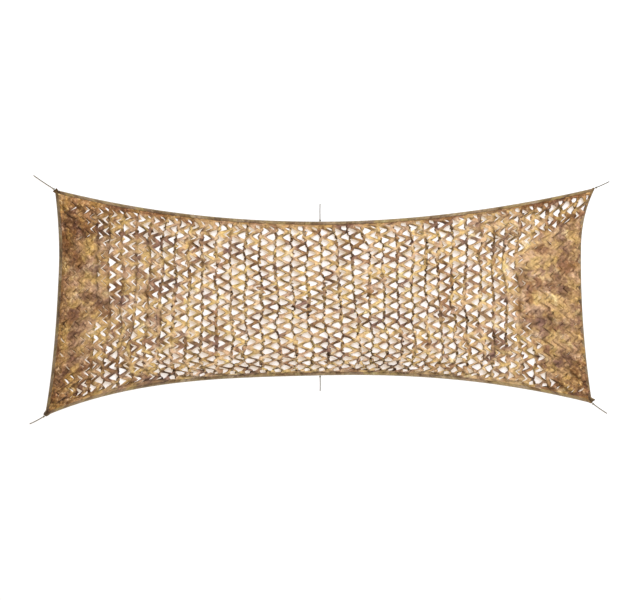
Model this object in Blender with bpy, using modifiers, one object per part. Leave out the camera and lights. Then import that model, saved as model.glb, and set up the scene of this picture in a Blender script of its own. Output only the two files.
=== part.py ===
"""Camouflage netting of about 5 m by 2 m, opened out flat on the ground by its six tie cords.

One piece of slit cloth, four strips that bind its edges, and six tie cords, each with the knot that
holds it to the edge and a plain free end. Metres. X runs along the net, Y across it, Z up, and the
origin is on the ground under the middle of the net.
"""

import math

import bmesh
import bpy
import numpy as np
from mathutils import Vector

# ---- the cloth's outline, as four corners and four sides that bow in between them ----
CORNERS = {
    "top_left": (-2.413, 1.022),
    "top_right": (2.503, 1.037),
    "bottom_left": (-2.504, -1.037),
    "bottom_right": (2.477, -0.920),
}
# Each side joins two corners and bows in between them. A bow has its depth, the share of the side's length
# where it is deepest, and how full it is before and after that place.
SIDES = {
    "top": {"from": "top_left", "to": "top_right", "way": (0, -1)},
    "bottom": {"from": "bottom_left", "to": "bottom_right", "way": (0, 1)},
    "left": {"from": "bottom_left", "to": "top_left", "way": (1, 0)},
    "right": {"from": "bottom_right", "to": "top_right", "way": (-1, 0)},
}
BOWS = {
    "top": {"deep": 0.298, "peak": 0.50, "before": 2.1, "after": 1.9},
    "bottom": {"deep": 0.311, "peak": 0.50, "before": 3.2, "after": 2.2},
    "left": {"deep": 0.068, "peak": 0.65, "before": 2.6, "after": 1.8},
    "right": {"deep": 0.119, "peak": 0.72, "before": 2.0, "after": 2.2},
}
NET_LENGTH = 4.90

# ---- the cloth and its binding ----
CLOTH = 0.0030
TAPE = 0.0012
TAPE_WIDTH = 0.028
SEAT = 0.0003
MITRE = 0.0005
EDGE_LIFT = TAPE + SEAT
BORDER_INSETS = (0.0, 0.014, TAPE_WIDTH, 0.070)
INNER_COLUMNS = 42
INNER_ROWS = 14

# How far the binding stands out as a small ear on each of the two strips at a corner: at its first fold
# station, and at the one where the other strip's seam meets it.
EARS = {
    "top_left": {"long": (0.016, 0.0), "short": (0.020, 0.0)},
    "top_right": {"long": (0.006, 0.0), "short": (0.0, 0.0)},
    "bottom_left": {"long": (0.008, 0.006), "short": (0.014, 0.010)},
    "bottom_right": {"long": (0.004, 0.0), "short": (0.006, 0.030)},
}

# ---- the net's mesh: cut lines across the width, in pairs that open as one column of gaps ----
COLUMNS = 38
ROWS = 16
STRETCH = {"middle": 0.46, "spread": 0.20, "gain": 0.236}
ROW_CROWDING = {"ends": -0.08, "middle": 0.22}

# The largest gaps: the column and row of the mesh where each lies, the way it points along X, its length
# and its height.
GAPS = (
    {"name": "corner_top_right_1", "column": 36.35, "row": 15.05, "points": 1, "long": 0.080, "high": 0.056},
    {"name": "corner_top_right_2", "column": 35.62, "row": 14.62, "points": -1, "long": 0.086, "high": 0.060},
    {"name": "corner_top_right_3", "column": 36.25, "row": 14.02, "points": 1, "long": 0.072, "high": 0.058},
    {"name": "corner_top_right_4", "column": 34.90, "row": 14.18, "points": -1, "long": 0.076, "high": 0.056},
    {"name": "corner_bottom_left_1", "column": 2.55, "row": 1.25, "points": 1, "long": 0.070, "high": 0.052},
    {"name": "corner_bottom_left_2", "column": 1.80, "row": 2.00, "points": -1, "long": 0.066, "high": 0.050},
    {"name": "right_end_upper", "column": 36.20, "row": 11.00, "points": 1, "long": 0.066, "high": 0.052},
    {"name": "right_end_lower", "column": 35.30, "row": 4.50, "points": -1, "long": 0.064, "high": 0.048},
    {"name": "left_upper", "column": 10.40, "row": 12.00, "points": 1, "long": 0.080, "high": 0.056},
    {"name": "left_lower", "column": 10.60, "row": 4.50, "points": -1, "long": 0.080, "high": 0.056},
    {"name": "middle_left_upper", "column": 14.40, "row": 10.00, "points": 1, "long": 0.086, "high": 0.054},
    {"name": "middle_left_lower", "column": 14.60, "row": 5.50, "points": -1, "long": 0.086, "high": 0.052},
    {"name": "middle_upper", "column": 18.40, "row": 12.00, "points": 1, "long": 0.088, "high": 0.056},
    {"name": "middle_centre", "column": 18.60, "row": 7.50, "points": -1, "long": 0.088, "high": 0.050},
    {"name": "middle_lower", "column": 18.40, "row": 3.00, "points": 1, "long": 0.088, "high": 0.050},
    {"name": "middle_right_upper", "column": 22.40, "row": 10.00, "points": 1, "long": 0.086, "high": 0.054},
    {"name": "middle_right_lower", "column": 22.60, "row": 5.50, "points": -1, "long": 0.086, "high": 0.052},
    {"name": "right_upper", "column": 27.40, "row": 12.00, "points": 1, "long": 0.080, "high": 0.056},
    {"name": "right_lower", "column": 27.60, "row": 4.50, "points": -1, "long": 0.080, "high": 0.056},
)
GAP_SIDES = 10
GAP_PINCH = {"share": 0.72, "rate": 1.2}
GAP_CUT = {"deep": 0.12, "middle": 0.03}

# ---- the folds that stand up from the ground, each a ridge from one place to another ----
FOLDS = (
    {"at": "left end, upper", "start": (-2.17, 0.66), "end": (-2.11, 0.08), "high": 0.034, "wide": 0.075},
    {"at": "left end, lower", "start": (-2.11, 0.08), "end": (-2.24, -0.48), "high": 0.032, "wide": 0.075},
    {"at": "top left, down", "start": (-2.33, 0.90), "end": (-1.98, 0.50), "high": 0.026, "wide": 0.07},
    {"at": "top left, along", "start": (-2.26, 0.89), "end": (-1.62, 0.66), "high": 0.02, "wide": 0.065},
    {"at": "bottom left, up", "start": (-2.40, -0.90), "end": (-2.06, -0.46), "high": 0.028, "wide": 0.07},
    {"at": "bottom left, along", "start": (-2.28, -0.88), "end": (-1.6, -0.62), "high": 0.022, "wide": 0.065},
    {"at": "top right, down", "start": (2.42, 0.90), "end": (2.16, 0.52), "high": 0.026, "wide": 0.07},
    {"at": "top right, along", "start": (2.30, 0.90), "end": (1.70, 0.68), "high": 0.02, "wide": 0.065},
    {"at": "bottom right, up", "start": (2.37, -0.80), "end": (2.14, -0.40), "high": 0.03, "wide": 0.07},
    {"at": "bottom right, along", "start": (2.26, -0.78), "end": (1.62, -0.60), "high": 0.022, "wide": 0.065},
    {"at": "right end, upper", "start": (2.18, 0.46), "end": (2.25, 0.02), "high": 0.036, "wide": 0.075},
    {"at": "right end, lower", "start": (2.25, -0.04), "end": (2.16, -0.42), "high": 0.034, "wide": 0.075},
    {"at": "right end, inner", "start": (1.98, 0.36), "end": (2.02, -0.30), "high": 0.024, "wide": 0.07},
)
FOLD_END_SHARE = 0.55
RIPPLE = {"high": 0.014, "along": 0.66, "across": 0.92, "lean": 0.35, "share_up": 0.10}
# The hem lies level on its binding; the cloth reaches its own height this far in from the edge. Where that
# height is less than LYING, and the place is past the first LYING_FROM of the way in, it lies on the ground.
HEM_REACH = 0.16
LYING = EDGE_LIFT * 0.5
LYING_FROM = 0.2

# ---- the tie cords ----
CORD = 0.007
CORD_POINT = 0.0150
CORD_LIFT_RATE = 6
KNOT_SEGMENTS = 10
KNOT_RINGS = 6
HITCH = {"long": 0.0100, "wide": 0.0085, "high": 0.0050}
# Each tie: the side it leaves and the share of that side's length, the way it points in degrees from +X,
# how far its free end lies from the edge, and how much it bows to one side.
TIES = {
    "top_left": {"side": "top", "share": 0.0, "way": 146.2, "reach": 0.234, "bow": 0.002},
    "top_middle": {"side": "top", "share": 0.491, "way": 90.0, "reach": 0.162, "bow": 0.001},
    "top_right": {"side": "top", "share": 1.0, "way": 24.8, "reach": 0.144, "bow": -0.002},
    "bottom_left": {"side": "bottom", "share": 0.0, "way": 207.5, "reach": 0.156, "bow": 0.003},
    "bottom_middle": {"side": "bottom", "share": 0.503, "way": 270, "reach": 0.144, "bow": 0.001},
    "bottom_right": {"side": "bottom", "share": 1.0, "way": 325.4, "reach": 0.166, "bow": -0.002},
}
# How far each hitch is tucked in past the line of the bound edge, so that it rests against the binding.
TUCKS = {
    "top_left": 0.0006,
    "top_middle": 0.0003,
    "top_right": 0.0008,
    "bottom_left": 0.0008,
    "bottom_middle": 0.0003,
    "bottom_right": 0.0008,
}

COLOURS = {
    "camouflage_cloth": ((0.44, 0.29, 0.15), 0.90),
    "edge_binding": ((0.23, 0.15, 0.07), 0.90),
    "tie_cord": ((0.11, 0.10, 0.04), 0.85),
}


# ---- where a point of the cloth lies on the ground ----
def side_point(side, share):
    """The point of a side of the outline at a share of the way from its first corner to its second."""
    row, bow = SIDES[side], BOWS[side]
    start = np.array(CORNERS[row["from"]])
    end = np.array(CORNERS[row["to"]])
    if share < bow["peak"]:
        depth = bow["deep"] * (1 - (1 - share / bow["peak"]) ** bow["before"])
    else:
        depth = bow["deep"] * (1 - ((share - bow["peak"]) / (1 - bow["peak"])) ** bow["after"])
    return start + (end - start) * share + depth * np.array(row["way"])


def on_ground(along, across):
    """The place of a cloth point, from its share of the net's length and of its width: a Coons patch."""
    low, high = side_point("bottom", along), side_point("top", along)
    left, right = side_point("left", across), side_point("right", across)
    corners = {name: np.array(place) for name, place in CORNERS.items()}
    flat = (1 - across) * ((1 - along) * corners["bottom_left"] + along * corners["bottom_right"])
    flat = flat + across * ((1 - along) * corners["top_left"] + along * corners["top_right"])
    return (1 - across) * low + across * high + (1 - along) * left + along * right - flat


def width_at(along):
    """The net's width across, at a share of its length."""
    return side_point("top", along)[1] - side_point("bottom", along)[1]


def stretch_profile(steps=400):
    """Running share of the net's length at evenly spaced columns: columns are wider near the middle."""
    shares = (np.arange(steps) + 0.5) / steps
    pitch = 1 + STRETCH["gain"] * np.exp(-(((shares - STRETCH["middle"]) / STRETCH["spread"]) ** 2))
    columns = np.concatenate([[0.0], np.cumsum(1 / pitch)])
    return columns / columns[-1], np.linspace(0, 1, steps + 1)


COLUMN_SHARE, LENGTH_SHARE = stretch_profile()


def mesh_place(column, row):
    """The place on the ground of a point of the net's mesh, given in columns and rows."""
    along = float(np.interp(column / COLUMNS, COLUMN_SHARE, LENGTH_SHARE))
    pull = math.exp(-(((along - STRETCH["middle"]) / STRETCH["spread"]) ** 2))
    crowding = ROW_CROWDING["ends"] + ROW_CROWDING["middle"] * pull
    across = row / ROWS + crowding * math.sin(2 * math.pi * row / ROWS) / (2 * math.pi)
    return on_ground(along, across)


def ridge(place, fold):
    """Height of one fold at a place: highest midway along its line, and soft to both sides."""
    start = np.array(fold["start"])
    run = np.array(fold["end"]) - start
    length = np.hypot(*run)
    past = (place - start) @ run / length**2
    aside = np.hypot(*(place - start - np.clip(past, 0, 1) * run))
    crest = FOLD_END_SHARE + (1 - FOLD_END_SHARE) * math.sin(math.pi * min(max(past, 0.0), 1.0))
    return fold["high"] * crest * math.exp(-((aside / fold["wide"]) ** 2))


def cloth_height(place, hem_distance):
    """Height of the cloth's underside: on the ground between its folds and ripples, level at the hem."""
    x, y = place
    wave = math.sin(2 * math.pi * x / RIPPLE["along"] + RIPPLE["lean"] * y)
    wave *= math.cos(2 * math.pi * y / RIPPLE["across"] - RIPPLE["lean"] * x)
    ripple = RIPPLE["high"] * max(wave + RIPPLE["share_up"], 0.0)
    height = max([ripple] + [ridge(place, fold) for fold in FOLDS])
    inside = min(max((hem_distance - TAPE_WIDTH) / (HEM_REACH - TAPE_WIDTH), 0.0), 1.0)
    rise = inside * inside * (3 - 2 * inside)
    if height * rise < LYING and inside > LYING_FROM:
        return 0.0
    return EDGE_LIFT * (1 - rise) + height * rise


# ---- helpers ----
def new_collection(name):
    collection = bpy.data.collections.new(name)
    bpy.context.scene.collection.children.link(collection)
    return collection


def material(name):
    colour, roughness = COLOURS[name]
    made = bpy.data.materials.new(name)
    made.use_nodes = True
    shader = made.node_tree.nodes["Principled BSDF"]
    shader.inputs["Base Color"].default_value = (*colour, 1)
    shader.inputs["Roughness"].default_value = roughness
    shader.inputs["Metallic"].default_value = 0.0
    return made


def adopt(thing, name, collection, finish=None):
    """Names an object, puts it in one collection and gives it its material."""
    thing.name = name
    for old in list(thing.users_collection):
        old.objects.unlink(thing)
    collection.objects.link(thing)
    if finish is not None:
        thing.data.materials.append(finish)
    return thing


def grid_object(columns, rows, place):
    """A grid primitive whose point at each column and row is moved to place(column, row)."""
    bpy.ops.mesh.primitive_grid_add(x_subdivisions=columns, y_subdivisions=rows, size=1)
    thing = bpy.context.object
    for vertex in thing.data.vertices:
        column = round((vertex.co.x + 0.5) * columns)
        row = round((vertex.co.y + 0.5) * rows)
        vertex.co = place(column, row)
    return thing


def thicken(thing, thickness):
    """Gives a surface its thickness, on the side it faces."""
    solid = thing.modifiers.new("thickness", "SOLIDIFY")
    solid.thickness = thickness
    solid.offset = 1
    solid.use_even_offset = True
    return solid


# ---- the net ----
def column_stations():
    """Shares of the net's length where the cloth is shaped: close at the ends, even between them."""
    ends = [inset / NET_LENGTH for inset in BORDER_INSETS]
    inner = np.linspace(ends[-1], 1 - ends[-1], INNER_COLUMNS + 1)
    return ends[:-1] + list(inner) + [1 - share for share in reversed(ends[:-1])]


def row_stations(along):
    """Shares of the net's width at one share of its length, with the binding's rows at a fixed inset."""
    ends = [inset / width_at(along) for inset in BORDER_INSETS]
    inner = np.linspace(ends[-1], 1 - ends[-1], INNER_ROWS + 1)
    return ends[:-1] + list(inner) + [1 - share for share in reversed(ends[:-1])]


def cloth_point(along, across):
    x, y = on_ground(along, across)
    edge_x = min(along, 1 - along) * NET_LENGTH
    edge_y = min(across, 1 - across) * width_at(along)
    return Vector((x, y, cloth_height((x, y), min(edge_x, edge_y))))


def gap_cutter(gap):
    """A teardrop prism, round at one end and drawn to a point at the other."""
    x, y = mesh_place(gap["column"], gap["row"])
    middle = (0, 0, GAP_CUT["middle"])
    bpy.ops.mesh.primitive_cylinder_add(vertices=GAP_SIDES, radius=1, depth=GAP_CUT["deep"], location=middle)
    cutter = bpy.context.object
    for vertex in cutter.data.vertices:
        toward_point = vertex.co.y
        narrowing = 1 - GAP_PINCH["share"] * max(toward_point, 0.0) ** GAP_PINCH["rate"]
        aside = vertex.co.x * narrowing
        vertex.co.x = x + gap["points"] * toward_point * gap["long"] / 2
        vertex.co.y = y - gap["points"] * aside * gap["high"] / 2
    return cutter


def net_panel(parts, cutters, finish):
    """The cloth of the net with its folds, and its largest gaps cut through it."""
    columns = column_stations()
    rows = [row_stations(along) for along in columns]

    def place(column, row):
        return cloth_point(columns[column], rows[column][row])

    net = adopt(grid_object(len(columns) - 1, len(rows[0]) - 1, place), "net_panel", parts, finish)
    thicken(net, CLOTH)
    tools = bmesh.new()
    for gap in GAPS:
        single = gap_cutter(gap)
        single.data.transform(single.matrix_world)
        tools.from_mesh(single.data)
        bpy.data.objects.remove(single)
    mesh = bpy.data.meshes.new("gap_cutters")
    tools.to_mesh(mesh)
    tools.free()
    cutter = adopt(bpy.data.objects.new("gap_cutters", mesh), "gap_cutters", cutters)
    cutter.hide_render = True
    cutter.display_type = "WIRE"
    cut = net.modifiers.new("largest_gaps", "BOOLEAN")
    cut.operation = "DIFFERENCE"
    cut.solver = "EXACT"
    cut.object = cutter
    return net


# ---- the binding ----
def edge_lines(side):
    """A side's outer line and the line where its binding ends on the cloth, mitred at both corners."""
    columns = column_stations()
    border = len(BORDER_INSETS) - 2
    rim, seam = (0, border) if side in ("bottom", "left") else (-1, -1 - border)
    if side in ("top", "bottom"):
        outer = [on_ground(along, row_stations(along)[rim]) for along in columns]
        inner = [on_ground(along, row_stations(along)[seam]) for along in columns]
    else:
        outer = [on_ground(columns[rim], across) for across in row_stations(columns[rim])]
        inner = [on_ground(columns[seam], across) for across in row_stations(columns[seam])]
    # At a corner the two strips are mitred: the seam starts at the inner corner, and runs evenly from there.
    clear = border + 1
    for order in (range(clear + 1), range(len(inner) - 1, len(inner) - 2 - clear, -1)):
        corner, past = inner[order[border]], inner[order[clear]]
        for number in range(clear):
            inner[order[number]] = corner + (past - corner) * number / clear
    return outer, inner


def binding(side, parts, finish):
    """A tape folded over one side of the net: an open fold around the cloth's edge, thickened."""
    outer, inner = edge_lines(side)
    out_way = -Vector((*SIDES[side]["way"], 0))
    length = "long" if side in ("top", "bottom") else "short"
    ears = [EARS[SIDES[side][end]][length] for end in ("from", "to")]
    last = len(outer) - 1
    levels = [TAPE, TAPE, EDGE_LIFT + CLOTH + SEAT, EDGE_LIFT + CLOTH + SEAT]
    if side in ("top", "left"):
        levels.reverse()  # so that the fold's faces look outward, and it thickens away from the cloth

    def place(column, row):
        rim = Vector((*outer[column], 0)) + out_way * SEAT
        seam = Vector((*inner[column], 0))
        if column in (0, last):
            next_column = 1 if column == 0 else last - 1
            step = Vector((*(outer[next_column] - outer[column]), 0)).normalized() * MITRE
            rim += step
            seam += step
        if column in (1, 2):
            rim += out_way * ears[0][column - 1]
        if column in (last - 1, last - 2):
            rim += out_way * ears[1][last - 1 - column]
        corner = (seam, rim, rim, seam)[row]
        return Vector((corner.x, corner.y, levels[row]))

    strip = adopt(grid_object(last, 3, place), f"binding_{side}", parts, finish)
    thicken(strip, TAPE)
    return strip


# ---- the ties ----
def knot(name, centre, way, size, parts, finish):
    """A small round knot, drawn out along its cord, with a flat under it."""
    bpy.ops.mesh.primitive_uv_sphere_add(segments=KNOT_SEGMENTS, ring_count=KNOT_RINGS, radius=1)
    ball = bpy.context.object
    for vertex in ball.data.vertices:
        along, aside, up = vertex.co.z * size["long"], vertex.co.x * size["wide"], vertex.co.y * size["high"]
        turned = Vector((along * way.x - aside * way.y, along * way.y + aside * way.x))
        vertex.co = Vector((centre.x + turned.x, centre.y + turned.y, centre.z + up))
    return adopt(ball, name, parts, finish)


def tie_cord(name, points, parts, finish):
    """A round cord through its points."""
    line = bpy.data.curves.new(name, "CURVE")
    line.dimensions = "3D"
    line.bevel_depth = CORD / 2
    line.bevel_resolution = 2
    line.use_fill_caps = True
    spline = line.splines.new("POLY")
    spline.points.add(len(points) - 1)
    for spot, point in zip(spline.points, points):
        spot.co = (*point, 1)
    return adopt(bpy.data.objects.new(name, line), name, parts, finish)


def tie(place, row, parts, finish):
    """A tie: the hitch on the bound edge, and the cord from there to its free end."""
    way = Vector((math.cos(math.radians(row["way"])), math.sin(math.radians(row["way"]))))
    aside = Vector((-way.y, way.x))
    edge = Vector(side_point(row["side"], row["share"])) + way * (TAPE + 2 * SEAT - TUCKS[place])
    hitch_centre = edge + way * (SEAT + HITCH["long"])
    knot(f"hitch_{place}", Vector((*hitch_centre, HITCH["high"])), way, HITCH, parts, finish)
    start = 2 * HITCH["long"] + 2 * SEAT
    count = round((row["reach"] - start) / CORD_POINT)
    points = []
    for number in range(count + 1):
        share = number / count
        lift = (HITCH["high"] - CORD / 2) * (1 - share) ** CORD_LIFT_RATE
        spot = edge + way * (start + (row["reach"] - start) * share)
        spot += aside * row["bow"] * math.sin(math.pi * share)
        points.append((spot.x, spot.y, CORD / 2 + lift))
    tie_cord(f"tie_{place}", points, parts, finish)


for old in list(bpy.data.objects):
    bpy.data.objects.remove(old)

PARTS = new_collection("camouflage_netting")
CUTTERS = new_collection("cutters")
FINISHES = {name: material(name) for name in COLOURS}

net_panel(PARTS, CUTTERS, FINISHES["camouflage_cloth"])
for side_name in SIDES:
    binding(side_name, PARTS, FINISHES["edge_binding"])
for tie_name, tie_row in TIES.items():
    tie(tie_name, tie_row, PARTS, FINISHES["tie_cord"])
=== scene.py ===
import math

import bpy
import numpy as np
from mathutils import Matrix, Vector


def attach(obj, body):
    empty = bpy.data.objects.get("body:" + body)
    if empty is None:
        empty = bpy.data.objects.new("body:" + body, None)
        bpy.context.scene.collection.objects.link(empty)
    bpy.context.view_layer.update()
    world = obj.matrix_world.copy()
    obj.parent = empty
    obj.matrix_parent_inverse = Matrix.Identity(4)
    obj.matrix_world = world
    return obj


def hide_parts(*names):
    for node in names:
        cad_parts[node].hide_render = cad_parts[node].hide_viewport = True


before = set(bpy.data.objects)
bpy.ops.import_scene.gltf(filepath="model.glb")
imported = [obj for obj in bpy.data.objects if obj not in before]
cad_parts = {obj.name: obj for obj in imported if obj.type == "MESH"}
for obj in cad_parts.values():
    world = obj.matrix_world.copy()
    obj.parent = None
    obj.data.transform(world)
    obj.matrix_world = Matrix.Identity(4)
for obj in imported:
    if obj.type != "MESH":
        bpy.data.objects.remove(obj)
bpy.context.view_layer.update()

# ---- The studio ----
# The net lies opened out on a plain pale floor and is seen from straight above. Two broad soft lamps light
# it: a strong one from beyond its top edge, and a weak one from the other side.
VIEW_WIDE = 5.829
VIEW_CENTRE = (0.0, 0.018)
LENS = 85.0
SENSOR = 36.0
FARTHEST_SEEN = 200
FLOOR_SIZE = 240.0
# The floor glows so that it reads evenly white where it is lit. Its glow is warm and its base colour bluish,
# so the net's shadows on it keep a painted warm tint that stands in for light bounced off the cloth.
FLOOR_LOOKS = {
    "Base Color": (0.41, 0.48, 0.59, 1),
    "Roughness": 0.9,
    "Specular IOR Level": 0.1,
    "Emission Color": (0.57, 0.44, 0.30, 1),
    "Emission Strength": 1.0,
}
SKY_LOOKS = {"Color": (1, 1, 1, 1), "Strength": 0.40}
LAMPS = {
    "key_light": {"place": (2.8, 8.4, 11.2), "size": 13.0, "power": 2980.0},
    "fill_light": {"place": (3.0, -8.0, 12.0), "size": 8.0, "power": 520.0},
}


def feed(node, inputs):
    """Sets a shader node's inputs, each to a fixed value or to the outlet of another node."""
    for name, value in inputs.items():
        if isinstance(value, bpy.types.NodeSocket):
            node.id_data.links.new(value, node.inputs[name])
        else:
            node.inputs[name].default_value = value


def new_finish(name, looks):
    """A finish, and its shader with the looks that are the same all over."""
    finish = bpy.data.materials.new(name)
    finish.use_nodes = True
    shader = finish.node_tree.nodes["Principled BSDF"]
    feed(shader, looks)
    return finish, shader


floor_mesh = bpy.data.meshes.new("floor")
half = FLOOR_SIZE / 2
floor_corners = [(-half, -half, 0), (half, -half, 0), (half, half, 0), (-half, half, 0)]
floor_mesh.from_pydata(floor_corners, [], [(0, 1, 2, 3)])
floor = bpy.data.objects.new("floor", floor_mesh)
bpy.context.scene.collection.objects.link(floor)
floor_paint = new_finish("floor_paint", FLOOR_LOOKS)[0]
floor_mesh.materials.append(floor_paint)

sky = bpy.data.worlds.new("studio")
sky.use_nodes = True
feed(sky.node_tree.nodes["Background"], SKY_LOOKS)
bpy.context.scene.world = sky
for name, lamp in LAMPS.items():
    light = bpy.data.lights.new(name, "AREA")
    light.shape = "DISK"
    light.size = lamp["size"]
    light.energy = lamp["power"]
    stand = bpy.data.objects.new(name, light)
    stand.location = lamp["place"]
    stand.rotation_euler = (-Vector(lamp["place"])).to_track_quat("-Z", "Y").to_euler()
    bpy.context.scene.collection.objects.link(stand)

lens = bpy.data.cameras.new("camera")
lens.lens = LENS
lens.sensor_width = SENSOR
lens.sensor_fit = "HORIZONTAL"
lens.clip_end = FARTHEST_SEEN
camera = bpy.data.objects.new("camera", lens)
camera.location = (*VIEW_CENTRE, VIEW_WIDE * LENS / SENSOR)
bpy.context.scene.collection.objects.link(camera)
bpy.context.scene.camera = camera
bpy.context.scene.view_settings.view_transform = "Standard"

# ---- Tie cords ----
# Six straight cords of soft braided polyester, dark olive tan and 7 mm thick, hold the net open. Each leaves
# the bound edge at its hitch: one at every corner, and one halfway along each long side. Its free end is cut
# hot, which melts it shut so that it can't fray.
CORNERS = {
    "top_left": (-2.413, 1.022),
    "top_right": (2.503, 1.037),
    "bottom_left": (-2.504, -1.037),
    "bottom_right": (2.477, -0.920),
}
SIDES = {
    "top": {"from": "top_left", "to": "top_right", "way": (0, -1)},
    "bottom": {"from": "bottom_left", "to": "bottom_right", "way": (0, 1)},
    "left": {"from": "bottom_left", "to": "top_left", "way": (1, 0)},
    "right": {"from": "bottom_right", "to": "top_right", "way": (-1, 0)},
}
BOWS = {
    "top": {"deep": 0.298, "peak": 0.50, "before": 2.1, "after": 1.9},
    "bottom": {"deep": 0.311, "peak": 0.50, "before": 3.2, "after": 2.2},
    "left": {"deep": 0.068, "peak": 0.65, "before": 2.6, "after": 1.8},
    "right": {"deep": 0.119, "peak": 0.72, "before": 2.0, "after": 2.2},
}
CORD = 0.007
CORD_START = 0.0018
CORD_RING_STEP = 0.0022
CORD_SIDES = 12
CORD_DROP = 6
ROPE_LOWEST = 0.0002
BRAID = {"strands": 3, "turn": 0.016, "relief": 0.09, "level": 0.8, "melted": 0.9}
CORD_LOOKS = {"Roughness": 0.82, "Specular IOR Level": 0.2, "Sheen Weight": 0.05}
CORD_TONES = {0.10: (0.025, 0.028, 0.007), 0.34: (0.050, 0.056, 0.012)}
CORD_FIBRES = {"Scale": 900, "Detail": 3}
CORD_FIBRE_RELIEF = {"Strength": 0.35, "Distance": 0.0004}
CORD_SOIL = {"Scale": 28}
HITCH = {"long": 0.0100, "wide": 0.0085, "high": 0.0055, "rope": 0.0028}
TIES = {
    "top_left": {"side": "top", "share": 0.0, "way": 146.2, "reach": 0.234, "bow": 0.002},
    "top_middle": {"side": "top", "share": 0.491, "way": 90.0, "reach": 0.162, "bow": 0.001},
    "top_right": {"side": "top", "share": 1.0, "way": 24.8, "reach": 0.144, "bow": -0.002},
    "bottom_left": {"side": "bottom", "share": 0.0, "way": 207.5, "reach": 0.156, "bow": 0.003},
    "bottom_middle": {"side": "bottom", "share": 0.503, "way": 270, "reach": 0.144, "bow": 0.001},
    "bottom_right": {"side": "bottom", "share": 1.0, "way": 325.4, "reach": 0.166, "bow": -0.002},
}


def side_point(side, share):
    """A point of the net's outline, at a share of the way along one of its sides."""
    ends, bow = SIDES[side], BOWS[side]
    share = np.asarray(share, float)
    start, end = np.array(CORNERS[ends["from"]]), np.array(CORNERS[ends["to"]])
    rising = 1 - np.clip(1 - share / bow["peak"], 0, 1) ** bow["before"]
    falling = 1 - np.clip((share - bow["peak"]) / (1 - bow["peak"]), 0, 1) ** bow["after"]
    depth = bow["deep"] * np.where(share < bow["peak"], rising, falling)
    return start + (end - start) * share[..., None] + depth[..., None] * np.array(ends["way"])


def tie_start(tie):
    """Where a cord holds the bound edge, and the way it runs off from there."""
    turn = math.radians(tie["way"])
    way = np.array((math.cos(turn), math.sin(turn)))
    return side_point(tie["side"], tie["share"]) + way * CORD_START, way


def tie_line(tie):
    """The centre line of one tie cord, from its hitch to its free end."""
    edge, way = tie_start(tie)
    aside = np.array((-way[1], way[0]))
    start, stop = 2 * HITCH["long"], tie["reach"]
    share = np.linspace(0, 1, round((stop - start) / CORD_RING_STEP) + 1)
    flat = edge + np.outer(start + (stop - start) * share, way)
    flat = flat + np.outer(np.sin(math.pi * share), aside) * tie["bow"]
    rise = (HITCH["high"] - CORD / 2) * (1 - share) ** CORD_DROP
    return np.column_stack([flat, CORD / 2 + rise])


def tube(line, radius, sides, relief=None):
    """A round rope along a line, its surface raised by relief(along, around): points, faces, skin places."""
    steps = np.gradient(line, axis=0)
    steps /= np.linalg.norm(steps, axis=1)[:, None]
    up = np.zeros_like(steps)
    last = np.array((0.0, 0.0, 1.0))
    for number, step in enumerate(steps):
        last = last - step * (last @ step)
        last /= np.linalg.norm(last)
        up[number] = last
    across = np.cross(steps, up)
    travelled = np.concatenate([[0], np.cumsum(np.linalg.norm(np.diff(line, axis=0), axis=1))])
    around = np.arange(sides) * 2 * math.pi / sides
    along, turn = np.meshgrid(travelled, around, indexing="ij")
    thick = np.full(along.shape, radius)
    if relief:
        thick = thick * (1 + relief(along, turn))
    rings = line[:, None] + thick[..., None] * (
        np.cos(turn)[..., None] * across[:, None] + np.sin(turn)[..., None] * up[:, None]
    )
    rings[..., 2] = np.maximum(rings[..., 2], ROPE_LOWEST)
    count = len(line)
    corner = np.arange(count * sides).reshape(count, sides)
    beside = np.roll(corner, -1, axis=1)
    walls = np.stack([corner[:-1], beside[:-1], beside[1:], corner[1:]], axis=-1).reshape(-1, 4)
    faces = walls.tolist() + [corner[0][::-1].tolist(), corner[-1].tolist()]
    shares = np.stack([along, turn * radius], axis=-1).reshape(-1, 2)
    return rings.reshape(-1, 3), faces, shares


def note(mesh, name, values):
    """Writes a number at every point of a mesh, for its finish to read."""
    layer = mesh.attributes.new(name, "FLOAT", "POINT")
    layer.data.foreach_set("value", np.asarray(values, np.float32).ravel())


def piece(name, points, faces, finish, shares=None, smooth=True):
    """A named piece. Its shares are its places on the flat cloth, in metres."""
    mesh = bpy.data.meshes.new(name)
    mesh.from_pydata(np.asarray(points).tolist(), [], faces)
    if shares is not None:
        layer = mesh.uv_layers.new(name="cloth")
        corners = np.zeros(len(mesh.loops), dtype=np.int32)
        mesh.loops.foreach_get("vertex_index", corners)
        layer.data.foreach_set("uv", np.asarray(shares, np.float32)[corners].ravel())
    # How far each point faces up: the print paints shade on steep places with it.
    note(mesh, "facing_up", [abs(vertex.normal.z) for vertex in mesh.vertices])
    mesh.polygons.foreach_set("use_smooth", [smooth] * len(mesh.polygons))
    mesh.materials.append(finish)
    made = bpy.data.objects.new(name, mesh)
    bpy.context.scene.collection.objects.link(made)
    return made


def braid(along, around):
    """The relief of a braided cord: two sets of strands wind opposite ways, and the free end is rounded."""
    wind = 2 * math.pi * along / BRAID["turn"]
    left = np.abs(np.sin(BRAID["strands"] * around / 2 + wind))
    right = np.abs(np.sin(BRAID["strands"] * around / 2 - wind))
    melted = np.clip(1 - (along.max() - along) / (CORD / 2), 0, BRAID["melted"])
    return (1 + BRAID["relief"] * (np.maximum(left, right) - BRAID["level"])) * np.sqrt(1 - melted**2) - 1


def node(finish, kind, inputs, **settings):
    """Adds a shader node to a finish, with its settings and its inputs, and gives back its outlets."""
    made = finish.node_tree.nodes.new(f"ShaderNode{kind}")
    for setting, value in settings.items():
        setattr(made, setting, value)
    feed(made, inputs)
    return made.outputs


def times(finish, first, second):
    """One value times another."""
    return node(finish, "Math", {0: first, 1: second}, operation="MULTIPLY")[0]


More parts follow.
